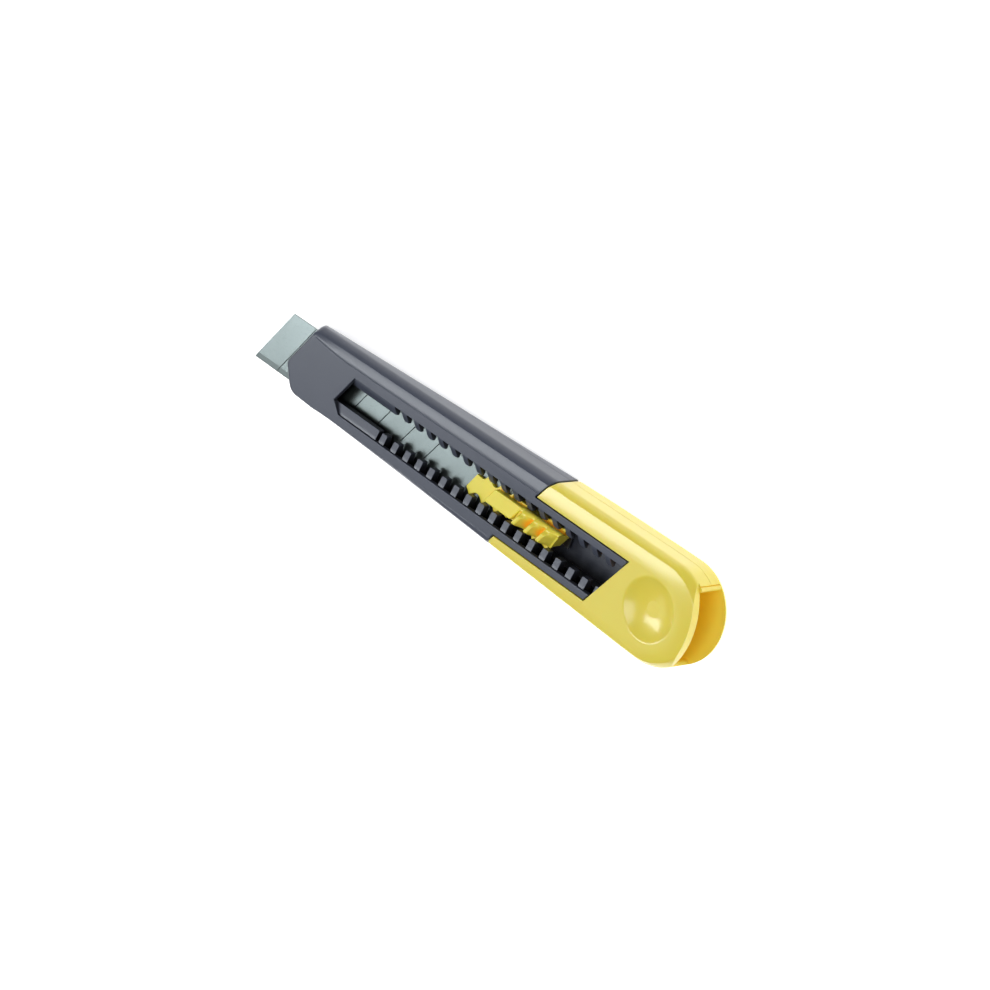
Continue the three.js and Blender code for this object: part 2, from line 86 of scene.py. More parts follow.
# ------------------------------------------------------------------ mesh helpers
def new_object(name, points, faces):
    mesh = bpy.data.meshes.new(name)
    mesh.from_pydata([place(*p) for p in points], [], faces)
    mesh.validate()
    thing = bpy.data.objects.new(name, mesh)
    bpy.context.scene.collection.objects.link(thing)
    shade(thing)
    return thing


def shade(thing, turn=SMOOTH_TURN):
    """Smooth shading, with crisp edges where two faces turn by more than an angle in degrees."""
    mesh = thing.data
    mesh.polygons.foreach_set("use_smooth", [True] * len(mesh.polygons))
    mesh.set_sharp_from_angle(angle=math.radians(turn))
    mesh.update()


def ring_solid(name, rings):
    """Closed body from closed rings of equal length, first ring on top, seen from above anticlockwise."""
    count = len(rings[0])
    points = [p for ring in rings for p in ring]
    faces = [list(range(count))]
    for r in range(len(rings) - 1):
        for i in range(count):
            j = (i + 1) % count
            faces.append([r * count + i, (r + 1) * count + i, (r + 1) * count + j, r * count + j])
    last = (len(rings) - 1) * count
    faces.append([last + count - 1 - i for i in range(count)])
    return new_object(name, points, faces)


def loft_solid(name, rings, smooth_turn=SMOOTH_TURN):
    """Closed body from a row of rings of equal length."""
    count = len(rings[0])
    points = [p for ring in rings for p in ring]
    faces = [list(range(count))[::-1], [len(points) - count + i for i in range(count)]]
    for r in range(len(rings) - 1):
        for i in range(count):
            j = (i + 1) % count
            faces.append([r * count + i, r * count + j, (r + 1) * count + j, (r + 1) * count + i])
    thing = new_object(name, points, faces)
    fix_normals(thing)
    shade(thing, smooth_turn)
    return thing


def fix_normals(thing):
    work = bmesh.new()
    work.from_mesh(thing.data)
    bmesh.ops.recalc_face_normals(work, faces=work.faces)
    work.to_mesh(thing.data)
    work.free()


def lathe(name, profile, centre, count=96):
    """Body turned about an upright axis. The profile runs from the axis at the top to the axis below."""
    points = [(centre[0], centre[1], profile[0][1])]
    faces = []
    inner = profile[1:-1]
    for radius, z in inner:
        for i in range(count):
            turn = 2 * math.pi * i / count
            points.append((centre[0] + radius * math.cos(turn), centre[1] + radius * math.sin(turn), z))
    points.append((centre[0], centre[1], profile[-1][1]))
    last = len(points) - 1
    for i in range(count):
        j = (i + 1) % count
        faces.append([0, 1 + i, 1 + j])
        for r in range(len(inner) - 1):
            a = 1 + r * count
            faces.append([a + i, a + count + i, a + count + j, a + j])
        b = 1 + (len(inner) - 1) * count
        faces.append([b + i, last, b + j])
    return new_object(name, points, faces)


def offset_outline(outline, distance):
    """Moves an anticlockwise outline outwards by a distance, with mitred corners."""
    if distance == 0:
        return list(outline)
    moved = []
    count = len(outline)
    for i in range(count):
        before = Vector(outline[i - 1])
        here = Vector(outline[i])
        after = Vector(outline[(i + 1) % count])
        a = (here - before).normalized()
        b = (after - here).normalized()
        normal_a = Vector((a.y, -a.x))
        normal_b = Vector((b.y, -b.x))
        bisector = normal_a + normal_b
        scale = 2 * distance / bisector.length_squared if bisector.length > 1e-6 else distance
        moved.append(tuple(here + bisector * scale))
    return moved


def layered_prism(name, outline, layers, corner=0.0):
    """Stack of offset outlines, top layer first. Each layer is (z, outward offset)."""
    rings = []
    for z, distance in layers:
        ring = offset_outline(outline, distance)
        if corner:
            ring = rounded_outline(ring, corner)
        rings.append([(x, y, z) for x, y in ring])
    return ring_solid(name, rings)


def rounded_top(top, bottom, radius, steps=4):
    """Layers of a prism whose upper edge is rounded inwards."""
    layers = []
    for i in range(steps + 1):
        angle = math.pi / 2 * (1 - i / steps)
        layers.append((top - radius * (1 - math.sin(angle)), -radius * (1 - math.cos(angle))))
    layers.append((bottom, 0))
    return layers


def flared_top(face, bottom, radius):
    """Layers of a cutter that leaves a rounded rim where it breaks through a face."""
    steps, above = 4, 0.6
    layers = [(face + above, radius)]
    for i in range(steps + 1):
        angle = math.pi / 2 * (i / steps)
        layers.append((face - radius * (1 - math.cos(angle)), radius * (1 - math.sin(angle))))
    layers.append((bottom, 0))
    return layers


def box_outline(x0, x1, y0, y1):
    return [(x0, y0), (x1, y0), (x1, y1), (x0, y1)]


def slanted_outline(x0, x1, y0, y1):
    return [(x0 + y0 * SLOPE, y0), (x1 + y0 * SLOPE, y0), (x1 + y1 * SLOPE, y1), (x0 + y1 * SLOPE, y1)]


def arc(cx, cy, radius, start, end, steps):
    turns = [math.radians(start + (end - start) * i / steps) for i in range(steps + 1)]
    return [(cx + radius * math.cos(t), cy + radius * math.sin(t)) for t in turns]


def corner_curve(start, corner, end, steps):
    """Short curve that leaves along one side of a corner and arrives along the other."""
    curve = []
    for k in range(steps + 1):
        t = k / steps
        curve.append(tuple(start * (1 - t) ** 2 + corner * 2 * t * (1 - t) + end * t ** 2))
    return curve


def rounded_outline(outline, radius, steps=4):
    """Rounds every corner of an outline by a short curve."""
    rounded = []
    count = len(outline)
    for i in range(count):
        here = Vector(outline[i])
        to_before = Vector(outline[i - 1]) - here
        to_after = Vector(outline[(i + 1) % count]) - here
        reach_a = min(radius, to_before.length * 0.45)
        reach_b = min(radius, to_after.length * 0.45)
        start = here + to_before.normalized() * reach_a
        end = here + to_after.normalized() * reach_b
        rounded += corner_curve(start, here, end, steps)
    return rounded


def combine(target, other, operation="DIFFERENCE", smooth_turn=SMOOTH_TURN):
    """Cuts another body out of the target, or joins it on, and uses the other body up."""
    modifier = target.modifiers.new("combine", "BOOLEAN")
    modifier.operation = operation
    modifier.object = other
    modifier.solver = "MANIFOLD"
    graph = bpy.context.evaluated_depsgraph_get()
    mesh = bpy.data.meshes.new_from_object(target.evaluated_get(graph))
    target.modifiers.clear()
    old = target.data
    target.data = mesh
    bpy.data.meshes.remove(old)
    bpy.data.objects.remove(other)
    shade(target, smooth_turn)


# ------------------------------------------------------------------ outer form
REAR_CENTRE = 163.78      # middle of the round rear end
REAR_LEAN = 0.075         # the rear end reaches further back on the spine side
ISLAND_CENTRE = 162.3     # middle of the round rear end of the flat face
SEAM = 112.05             # the cover starts here
SEAM_GAP = 0.34
NOSE = 15.8
RAKE = 0.5                # the nose edge lies further back the higher it is
NOSE_TURN = -1.7          # where the straight nose edge turns into the cut corner
NOSE_CUT = 3.3            # where the cut corner meets the side, behind the nose edge
EASE = 8.0                # length over which the sides stop widening before the round rear end
SLOPE_REACH = 1.45        # width of the steep facet between the face and the side
# Half width at a place, how much it grows per millimetre towards the rear, and that place
SPINE_SIDE = (12.73, 0.0175, 40)
EDGE_SIDE = (9.08, 0.0335, 14)
FACE_EDGE = 8.6           # the flat face ends this far from the centre line
FACE_GROWTH = 0.0105
FLARE = 1.4               # the face widens by this much towards the nose
FLARE_START = 41
FLARE_LENGTH = 17.5
LEAST_SHOULDER = 0.7      # the face ends at least this far inside the side wall
SIDE_LEAN = 0.3           # how strongly the lower side leans in, below a line that falls to the rear
LEAN_START = -0.9
LEAN_FALL = 0.06
LEAN_MIDDLE = 40
EDGE_LEAN_LOWER = 2.0     # that line is lower on the cutting edge side
SEAM_ROUNDING = 0.35      # rounded rims of the cover and of the body where they meet
BODY_ROUNDING = 0.3
NOSE_ROUNDING, NOSE_LOW_ROUNDING = 0.7, 1.2
SHELL_LOW_ROUNDING = 1.1
GROOVE_Z = -2.42          # parting groove round the outer form
GROOVE_DEPTH = 0.06


def side_half(x, side):
    """Half width of the upright side wall, wider on the spine side."""
    along = min(x, REAR_CENTRE)
    late = max(0.0, along - (REAR_CENTRE - EASE))
    along -= late * late / (2 * EASE)
    half, growth, middle = SPINE_SIDE if side > 0 else EDGE_SIDE
    return half + growth * (along - middle)


def face_half(x, side):
    """Half width of the flat face, which flares towards the nose."""
    ahead = max(0.0, FLARE_START - x) / FLARE_LENGTH
    edge = FACE_EDGE + FLARE * ahead ** 2 + FACE_GROWTH * max(0.0, x - FLARE_START)
    return min(edge, side_half(x, side) - LEAST_SHOULDER)


def cut_back(x, side, z):
    """How far the lower part of the side leans in, more and more towards the nose."""
    start = LEAN_START - LEAN_FALL * (x - LEAN_MIDDLE) - (0.0 if side > 0 else EDGE_LEAN_LOWER)
    below = start - z
    return SIDE_LEAN * (below + math.sqrt(below ** 2 + 0.25))


def outer_y(x, side, row):
    """Distance of one row of the outer form from the centre line. A row is (kind, amount, height)."""
    kind, amount, z = row
    edge = face_half(x, side)
    outer = side_half(x, side)
    reach = min(SLOPE_REACH, 0.7 * (outer - edge))
    if kind == "face":
        return edge - amount
    if kind == "band":
        return edge + amount * (outer - reach - edge)
    if kind == "facet":
        return outer - amount * reach
    return outer - amount - cut_back(x, side, z)


def section_rows(crease):
    """Rows of the outer form from the face down to the back, with a fine line beside the face or none."""
    rows = [("face", 0.62, FACE), ("face", 0.3, FACE)]
    if crease:
        rows += [("face", 0.16, FACE), ("face", 0.08, FACE - 0.09), ("face", -0.02, FACE - 0.09)]
    for share in (0.12, 0.3, 0.5, 0.7, 0.88, 0.97):
        rows.append(("band", share, FACE - 0.02 - 0.42 * (0.6 * share + 0.4 * share ** 2)))
    facet = [(1.0, 4.26), (0.95, 4.19), (0.86, 4.05), (0.72, 3.8), (0.56, 3.48), (0.4, 3.12)]
    facet += [(0.26, 2.78), (0.14, 2.46), (0.05, 2.12), (0.0, 1.75)]
    rows += [("facet", share, z) for share, z in facet]
    rows += [("side", 0.0, z) for z in (1.0, 0.2, -0.6, -1.4, -2.0, -2.3)]
    rows += [("side", GROOVE_DEPTH, GROOVE_Z + 0.04), ("side", GROOVE_DEPTH, GROOVE_Z - 0.04)]
    rows.append(("side", 0.0, GROOVE_Z - 0.12))
    rows += [("side", 0.0, z) for z in (-3.2, -4.0, -4.8, -5.5)]
    for i in range(7):
        angle = math.pi / 2 * i / 6
        inset = SHELL_LOW_ROUNDING * (1 - math.cos(angle))
        rows.append(("side", inset, BACK + SHELL_LOW_ROUNDING * (1 - math.sin(angle))))
    rows.append(("side", 1.7, BACK))
    return rows


def edge_inset(z, radius, low_radius):
    """How far a rounded end edge stands back at one height."""
    from_top = FACE - z
    from_bottom = z - BACK
    if from_top < radius:
        return radius - math.sqrt(max(0.0, radius ** 2 - (radius - from_top) ** 2))
    if from_bottom < low_radius:
        return low_radius - math.sqrt(max(0.0, low_radius ** 2 - (low_radius - from_bottom) ** 2))
    return 0.0


def seam_corner(before, corner, after, reach, steps=5):
    """Short curve round the corner between a side and the seam face."""
    corner = Vector(corner)
    start = corner + (Vector(before) - corner).normalized() * reach
    end = corner + (Vector(after) - corner).normalized() * reach
    return corner_curve(start, corner, end, steps)


def slant_point(start, side, row):
    """Where a slanted line meets one row of the outer form."""
    y = 12.0 * side
    for _ in range(8):
        y = side * outer_y(start + y * SLOPE, side, row)
    return (start + y * SLOPE, y)


def seam_line(start, end, count):
    """Points between two ends of a straight seam, without the ends."""
    a, b = Vector(start), Vector(end)
    return [tuple(a.lerp(b, i / count)) for i in range(1, count)]


def rear_turn(row, steps=72):
    """The round rear end of one row, from the edge side to the spine side."""
    high = outer_y(REAR_CENTRE, 1, row)
    low = outer_y(REAR_CENTRE, -1, row)
    edge = face_half(REAR_CENTRE, 1)
    share = min(1.0, max(0.0, (high - edge) / (side_half(REAR_CENTRE, 1) - edge)))
    centre = ISLAND_CENTRE + share * (REAR_CENTRE - ISLAND_CENTRE)
    turn = []
    for i in range(steps + 1):
        angle = math.radians(-90 + 180 * i / steps)
        y = (high if angle > 0 else low) * math.sin(angle)
        turn.append((centre + (high + low) / 2 * math.cos(angle) + share * REAR_LEAN * y, y))
    return turn


def cover_ring(row):
    """One row of the cover, anticlockwise from the edge side of the seam."""
    z = row[2]
    seam = SEAM + SEAM_GAP + edge_inset(z, SEAM_ROUNDING, SEAM_ROUNDING)
    low = slant_point(seam, -1, row)
    high = slant_point(seam, 1, row)
    turn = rear_turn(row)
    steps = 40
    reach = 0.6
    lower = seam_corner(high, low, (low[0] + 5, low[1]), reach)
    upper = []
    for i in range(1, steps):
        x = low[0] + reach + (turn[0][0] - low[0] - reach) * i / steps
        lower.append((x, -outer_y(x, -1, row)))
        x = turn[-1][0] + (high[0] + reach - turn[-1][0]) * i / steps
        upper.append((x, outer_y(x, 1, row)))
    upper += seam_corner((high[0] + 5, high[1]), high, low, reach)
    ring = lower + turn + upper + seam_line(upper[-1], lower[0], 12)
    return [(x, y, z) for x, y in ring]


def closer_at_nose(t):
    """Spaces points closer together near the nose."""
    return 0.55 * t + 0.45 * t * t


def body_ring(row):
    """One row of the body, anticlockwise from the nose."""
    z = row[2]
    seam = SEAM - edge_inset(z, BODY_ROUNDING, BODY_ROUNDING)
    inset = edge_inset(z, NOSE_ROUNDING, NOSE_LOW_ROUNDING)
    nose = NOSE + RAKE * z + inset / math.cos(math.radians(30))
    low = slant_point(seam, -1, row)
    high = slant_point(seam, 1, row)
    top = slant_point(nose, 1, row)
    first = (nose + NOSE_TURN * SLOPE, NOSE_TURN)
    second = (nose + NOSE_CUT, -outer_y(nose + NOSE_CUT, -1, row))
    beside = (nose + 9, -outer_y(nose + 9, -1, row))
    turn = seam_corner(top, first, second, 1.0, 10) + seam_corner(first, second, beside, 2.6, 16)
    centre_x = turn[-1][0]
    reach = 0.5
    nose_reach = 1.2
    beyond = (top[0] + 5, outer_y(top[0] + 5, 1, row))
    nose_corner = seam_corner(beyond, top, turn[0], nose_reach, 10)
    steps = 70
    lower, upper = [], seam_corner(low, high, (high[0] - 5, high[1]), reach)
    for i in range(1, steps):
        x = centre_x + (low[0] - reach - centre_x) * closer_at_nose(i / steps)
        lower.append((x, -outer_y(x, -1, row)))
        x = nose_corner[0][0] + (high[0] - reach - nose_corner[0][0]) * closer_at_nose(1 - i / steps)
        upper.append((x, outer_y(x, 1, row)))
    lower += seam_corner((low[0] - 5, low[1]), low, high, reach)
    slant = seam_line(nose_corner[-1], turn[0], 12)
    ring = turn + lower + seam_line(lower[-1], upper[0], 12) + upper + nose_corner + slant
    return [(x, y, z) for x, y in ring]


# ------------------------------------------------------------------ body
WINDOW = 5.97             # half width of the window
WINDOW_FRONT = 40.4
WINDOW_CUT = 2.9          # the front corner on the edge side is cut off from here
WINDOW_REAR = 147.0
STRIP = 7.95              # the strips beside the window, which the cover leaves open, end here
TONGUE_START, TONGUE_END = 90.0, 153.2
RACK_PITCH = 5.0
FIRST_BAR = 59.63
BARS = 18
BAR_HALF = 1.08           # half of a bar's width along the knife
BAR_ROOT = 7.6            # the bars are rooted this far from the centre line
LEDGE_FRONT = 34.5        # each rack starts with a long ledge
LEDGE_REAR = {1: 60.7, -1: 57.3}
LOW_FOOT = -3.2           # the bars reach in to here on the edge side
HIGH_FOOT = 3.05          # and to here on the spine side
FOOT_TOP = 2.3            # lowest top of a bar on the spine side
BAR_FOOT = 1.6            # the lock teeth pass below the bars


def window_outline(rear):
    """Outline of the window, slanted in front, with one corner cut off."""
    return [
        (WINDOW_FRONT - WINDOW_CUT * SLOPE, -WINDOW_CUT),
        (WINDOW_FRONT - WINDOW_CUT * SLOPE + 3.2, -WINDOW),
        (rear, -WINDOW),
        (rear, WINDOW),
        (WINDOW_FRONT + WINDOW * SLOPE, WINDOW),
    ]


def rack_top(y):
    """Height of a rack bar: steep on the spine side, nearly level on the edge side."""
    if y > 0:
        fall = (FACE - 0.12 - FOOT_TOP) / (WINDOW - HIGH_FOOT)
        return min(FACE - 0.1, max(FACE - 0.12 - (WINDOW - y) * fall, FOOT_TOP))
    return 3.4 + 0.26 * (min(abs(y), WINDOW + 0.3) + LOW_FOOT)


def rack_piece(front, rear, side):
    """One bar of a rack, in sections from its tip to its root, so that its top follows the slope."""
    foot = HIGH_FOOT if side > 0 else LOW_FOOT
    radius = 0.22 if side < 0 else 0.5
    edge = 0.1 if side < 0 else 0.16
    across = [0, 0.1, 0.22, 0.4, 0.53, 0.56, 0.7, 0.9, 1.2, 1.8, 2.4, BAR_ROOT - abs(foot)]
    rings = []
    for reach in across:
        y = foot + side * reach
        corner = 0.0
        if reach < radius:
            corner = radius - math.sqrt(max(0.0, radius ** 2 - (radius - reach) ** 2))
        top = rack_top(y)
        ring = [(front + corner, y, BAR_FOOT), (rear - corner, y, BAR_FOOT), (rear - corner, y, top - edge)]
        ring += [(rear - corner - 0.05, y, top - 0.05), (rear - corner - edge, y, top)]
        ring += [(front + corner + edge, y, top), (front + corner + 0.05, y, top - 0.05)]
        ring += [(front + corner, y, top - edge)]
        rings.append(ring)
    return loft_solid("bar", rings, RACK_TURN if rear - front < RACK_PITCH else SMOOTH_TURN)


def stepped_section(neck, neck_top, half, shoulder, low):
    """Section of the tongue or of its socket: a narrow neck on a wider foot, the same on both sides."""
    section = [(neck, neck_top), (neck, shoulder), (half, shoulder), (half, low)]
    return section + [(-y, z) for y, z in reversed(section)]


def along_knife(name, section, front, rear):
    """Straight body of one section, from front to rear."""
    return loft_solid(name, [[(x, y, z) for y, z in section] for x in (front, rear)])


def make_body():
    """Body moulding with its tongue, blade way, window and racks."""
    rings = [body_ring(row) for row in section_rows(True)]
    body = ring_solid("housing_shell", rings)
    top = FACE - 1.5
    section = rounded_outline(stepped_section(8.9, top, 10.55, 1.15, BACK + 1.4), 0.4, 3)
    combine(body, along_knife("tongue", section, TONGUE_START, TONGUE_END), "UNION")
    for side in (-1, 1):
        y0, y1 = sorted((side * (WINDOW - 0.4), side * STRIP))
        strip = slanted_outline(100, WINDOW_REAR - 0.3, y0, y1)
        combine(body, layered_prism("strip", strip, rounded_top(FACE, top - 1, 0.18)), "UNION")

    past = TONGUE_END + 5
    ways = [
        (box_outline(2, past, -8.8, 9.85), 0.6, -0.6),
        (box_outline(33, past, -7.3, 7.3), FACE - 1.3, 0.5),
        (box_outline(36, past, -6, 6), 0.5, BACK + 2.4),
    ]
    for outline, high, low in ways:
        combine(body, layered_prism("way", outline, [(high, 0), (low, 0)]))
    window = layered_prism("window", window_outline(past), flared_top(FACE, FACE - 1.6, 0.22))
    combine(body, window)

    for side in (-1, 1):
        ledge = LEDGE_REAR[side]
        spans = [(LEDGE_FRONT, ledge)]
        for i in range(BARS):
            middle = FIRST_BAR + i * RACK_PITCH
            if middle - BAR_HALF > ledge:
                spans.append((middle - BAR_HALF, middle + BAR_HALF))
        for front, rear in spans:
            combine(body, rack_piece(front, rear, side), "UNION", RACK_TURN)
    cut = slanted_outline(WINDOW_REAR - 0.3, TONGUE_END + 20, -STRIP - 0.1, STRIP + 0.1)
    under_cover = layered_prism("under_cover", cut, [(FACE + 1, 0), (top, 0)])
    combine(body, under_cover, smooth_turn=RACK_TURN)
    return body


# ------------------------------------------------------------------ rear cover
MOUTH_FLOOR = BACK + 1.2
MOUTH_ROOF = 1.8
MOUTH_ANGLE = 53.9        # the mouth opens this far to either side of the middle
WALL = 1.3
LIP_CENTRE, LIP_RADIUS = 153.5, 22.1
DISH_CENTRE = (162.3, 0.4)
DISH_RADIUS = 8.3
DISH_DEPTH = 2.2
DISH_SOFTNESS = 0.12
DISC_CENTRE = (162.1, 0.8)
DISC_RADIUS = 2.6


def make_cover():
    """Rear cover with its socket, cut-out beside the window, hollow, mouth, lip and thumb dish."""
    rings = [cover_ring(row) for row in section_rows(False)]
    cover = ring_solid("cover_shell", rings)
    top = FACE - 1.2
    section = stepped_section(9.2, top, 10.85, 1.45, BACK + 1.1)
    combine(cover, along_knife("socket", section, TONGUE_START, TONGUE_END + 0.4))
    window = slanted_outline(SEAM - 20, WINDOW_REAR, -STRIP - 0.3, STRIP + 0.3)
    combine(cover, layered_prism("cut_out", window, flared_top(FACE, top - 0.4, 0.2)))

    high, low = side_half(REAR_CENTRE, 1), side_half(REAR_CENTRE, -1)
    radius, middle = (high + low) / 2, (high - low) / 2
    front = TONGUE_END - 3
    inner = [(front, WALL - side_half(front, -1))]
    inner += arc(REAR_CENTRE, middle, radius - WALL, -88, 88, 48)
    inner += [(front, side_half(front, 1) - WALL)]
    hollow = [(MOUTH_ROOF, -0.25), (MOUTH_ROOF - 0.08, -0.08), (MOUTH_ROOF - 0.25, 0)]
    hollow += [(MOUTH_FLOOR + 0.25, 0), (MOUTH_FLOOR + 0.08, -0.08), (MOUTH_FLOOR, -0.25)]
    combine(cover, layered_prism("hollow", inner, hollow))
    gap = arc(REAR_CENTRE, middle, 40, -MOUTH_ANGLE, MOUTH_ANGLE, 8) + [(REAR_CENTRE, middle)]
    combine(cover, layered_prism("mouth", gap, [(MOUTH_ROOF + 0.01, 0), (MOUTH_FLOOR + 0.01, 0)]))
    for side in (-1, 1):
        turn = side * math.radians(MOUTH_ANGLE)
        reach = radius - WALL / 2
        x = REAR_CENTRE + reach * math.cos(turn) + REAR_LEAN * reach * math.sin(turn)
        pin = arc(x, middle + reach * math.sin(turn), WALL / 2, 0, 360, 32)[:-1]
        ends = [(MOUTH_ROOF + 0.2, 0), (MOUTH_FLOOR - 0.2, 0)]
        combine(cover, layered_prism("wall_end", pin, ends), "UNION")
    lip = arc(LIP_CENTRE, middle, LIP_RADIUS, 40, -40, 80) + [(REAR_CENTRE + 25, -25), (REAR_CENTRE + 25, 25)]
    combine(cover, layered_prism("lip", lip, [(FACE + 1, 0), (MOUTH_ROOF - 0.1, 0)]))

    rim, steps = DISH_RADIUS + 1.6, 30
    profile = [(0, FACE + 1.5), (rim, FACE + 1.5), (rim, FACE + 0.02)]
    for i in range(steps):
        radius = (DISH_RADIUS + 1.2) * (1 - i / steps)
        profile.append((radius, FACE - dish_drop(radius)))
    profile.append((0, FACE - dish_drop(0)))
    combine(cover, lathe("dish", profile, DISH_CENTRE))
    disc = arc(*DISC_CENTRE, DISC_RADIUS, 0, 360, 64)[:-1]
    floor_z = FACE - dish_drop(0)
    raised = [(floor_z + 0.13, -0.1), (floor_z + 0.1, -0.03), (floor_z + 0.03, 0), (floor_z - 0.2, 0)]
    combine(cover, layered_prism("disc", disc, raised), "UNION")
    return cover


def dish_drop(radius):
    """Depth of the thumb dish: a ball shape that runs out softly at its rim."""
    ball = (DISH_RADIUS ** 2 + DISH_DEPTH ** 2) / (2 * DISH_DEPTH)
    depth = DISH_DEPTH - (ball - math.sqrt(ball ** 2 - radius ** 2))
    return 0.5 * (depth + math.sqrt(depth ** 2 + DISH_SOFTNESS ** 2)) - 0.012


# ------------------------------------------------------------------ blade
BLADE_SPINE = 9.5
BLADE_HALF = 0.25         # half thickness
BLADE_LENGTH = 100
BEVEL = 1.8
SCORE_PITCH = 10
SCORED = 7                # scored stretches in front of the unscored one
SCORE_GAP = 0.02          # half of the gap between two stretches
SCORE_DEPTH = 0.13        # chamfer beside a score line
SCORE_WIDTH = 0.14
PEG_X = 98.5
PEG_RADIUS = 2.2
HOLE_RADIUS = 2.6


def blade_stretch(name, front, rear, rear_score, front_score):
    """One stretch of blade between two score lines, with a ground edge and shallow score chamfers."""
    section = [(BLADE_EDGE, 0.03), (BLADE_EDGE + 0.3, 0.11)]
    section += [(BLADE_EDGE + BEVEL, BLADE_HALF), (BLADE_EDGE + BEVEL + 0.3, BLADE_HALF)]
    width = BLADE_SPINE - BLADE_EDGE
    section += [(BLADE_EDGE + width * i / 12, BLADE_HALF) for i in range(3, 12)]
    section += [(BLADE_SPINE - 0.06, BLADE_HALF), (BLADE_SPINE, BLADE_HALF - 0.06)]
    loop = section + [(y, -z) for y, z in reversed(section)]
    stations = [(front, SCORE_DEPTH if front_score else 0.0), (front + SCORE_WIDTH, 0.0)]
    stations += [(front + (rear - front) * i / 6, 0.0) for i in range(1, 6)]
    stations += [(rear - SCORE_WIDTH, 0.0), (rear, SCORE_DEPTH if rear_score else 0.0)]
    rings = []
    for x, drop in stations:
        ring = []
        for y, z in loop:
            height = z - drop if z > drop + 0.02 else z
            ring.append((x + (y - BLADE_EDGE) * SLOPE, y, height))
        rings.append(ring)
    return loft_solid(name, rings, BLADE_TURN)


def make_blade():
    """The scored stretches from the tip to the rear, then the rear end with its peg hole."""
    parts = []
    for i in range(SCORED):
        front = SCORE_PITCH * i
        rear = front + SCORE_PITCH - SCORE_GAP
        start = front + SCORE_GAP if i else 0.0
        parts.append(blade_stretch(f"scored_segment_{i + 1}", start, rear, True, i > 0))
    tail = blade_stretch("blade_end", SCORE_PITCH * SCORED + SCORE_GAP, BLADE_LENGTH, False, True)
    hole = arc(PEG_X, 0, HOLE_RADIUS, 0, 360, 40)[:-1]
    combine(tail, layered_prism("hole", hole, [(2, 0), (-2, 0)]), smooth_turn=BLADE_TURN)
    parts.append(tail)
    return parts


# ------------------------------------------------------------------ slider
PLATE_LOW, PLATE_TOP = 0.55, 1.35
TOOTH, ROOT = 4.5, 3.5    # tips and roots of the lock teeth from the centre line
FLANK_STEPS = 8
SPLIT = 111.4             # the thumb grip starts here


def toothed_side(start, side, first, last, end=None, root=ROOT):
    """One long side of a slider plate: hollow flanks that rise to pointed teeth."""
    def flank(away):
        share = 1 - away / (RACK_PITCH / 2)
        return side * (root + (TOOTH - root) * share ** 2)

    points = [start]
    tooth = first
    while tooth <= last + 0.01:
        for k in range(1, FLANK_STEPS):
            away = RACK_PITCH / 2 * (1 - k / FLANK_STEPS)
            if tooth - away > points[-1][0] + 0.1:
                points.append((tooth - away, flank(away)))
        points.append((tooth, side * TOOTH))
        for k in range(1, FLANK_STEPS):
            away = RACK_PITCH / 2 * k / FLANK_STEPS
            if tooth < last - 0.01 or (end and tooth + away < end[0] - 0.1):
                points.append((tooth + away, flank(away)))
        tooth += RACK_PITCH
    return points + [end] if end else points


def make_carrier():
    """Toothed plate on top of the blade's end, with a raised bar, a keel and the peg for the blade."""
    lower = toothed_side((90.8, -2.3), -1, 92.6, 102.6, (107.0, -ROOT), 2.6)
    upper = toothed_side((93.2, 2.2), 1, 97.6, 102.6, (107.0, ROOT), 1.9)
    plate = lower + upper[::-1]
    carrier = layered_prism("blade_holder", plate, rounded_top(PLATE_TOP, PLATE_LOW, 0.12, 3))
    bar = slanted_outline(100.6, SPLIT - 0.2, -2.35, 2.45)
    raised = layered_prism("bar", bar, rounded_top(3.1, PLATE_LOW + 0.1, 0.35, 5), corner=0.6)
    combine(carrier, raised, "UNION")
    keel = slanted_outline(107.2, SPLIT - 0.35, -3.0, 3.0)
    combine(carrier, layered_prism("keel", keel, [(PLATE_TOP - 0.1, 0), (-2.4, 0)]), "UNION")
    peg = arc(PEG_X, 0, PEG_RADIUS, 0, 360, 40)[:-1]
    combine(carrier, layered_prism("peg", peg, [(PLATE_LOW + 0.2, 0), (-0.7, 0), (-0.85, -0.15)]), "UNION")
    return carrier


RIDGES = 3
RIDGE_PITCH = 4.65
FIRST_RIDGE = 114.0
CREST = 5.15                              # height of the crests
CREST_FRONT, CREST_REAR = -0.6, 0.35      # ends of a ridge's crest from its middle
RIDGE_FRONT, RIDGE_REAR = 1.0, 2.1        # length of the steep front and of the long rear of a ridge
FINGER_LOW, GRIP_HIGH = -3.1, 2.95        # edges of the grip
PLATEAU_LOW = 1.3                         # the strip that the fingers grow out of starts here
GRIP_ROUNDING = 0.9


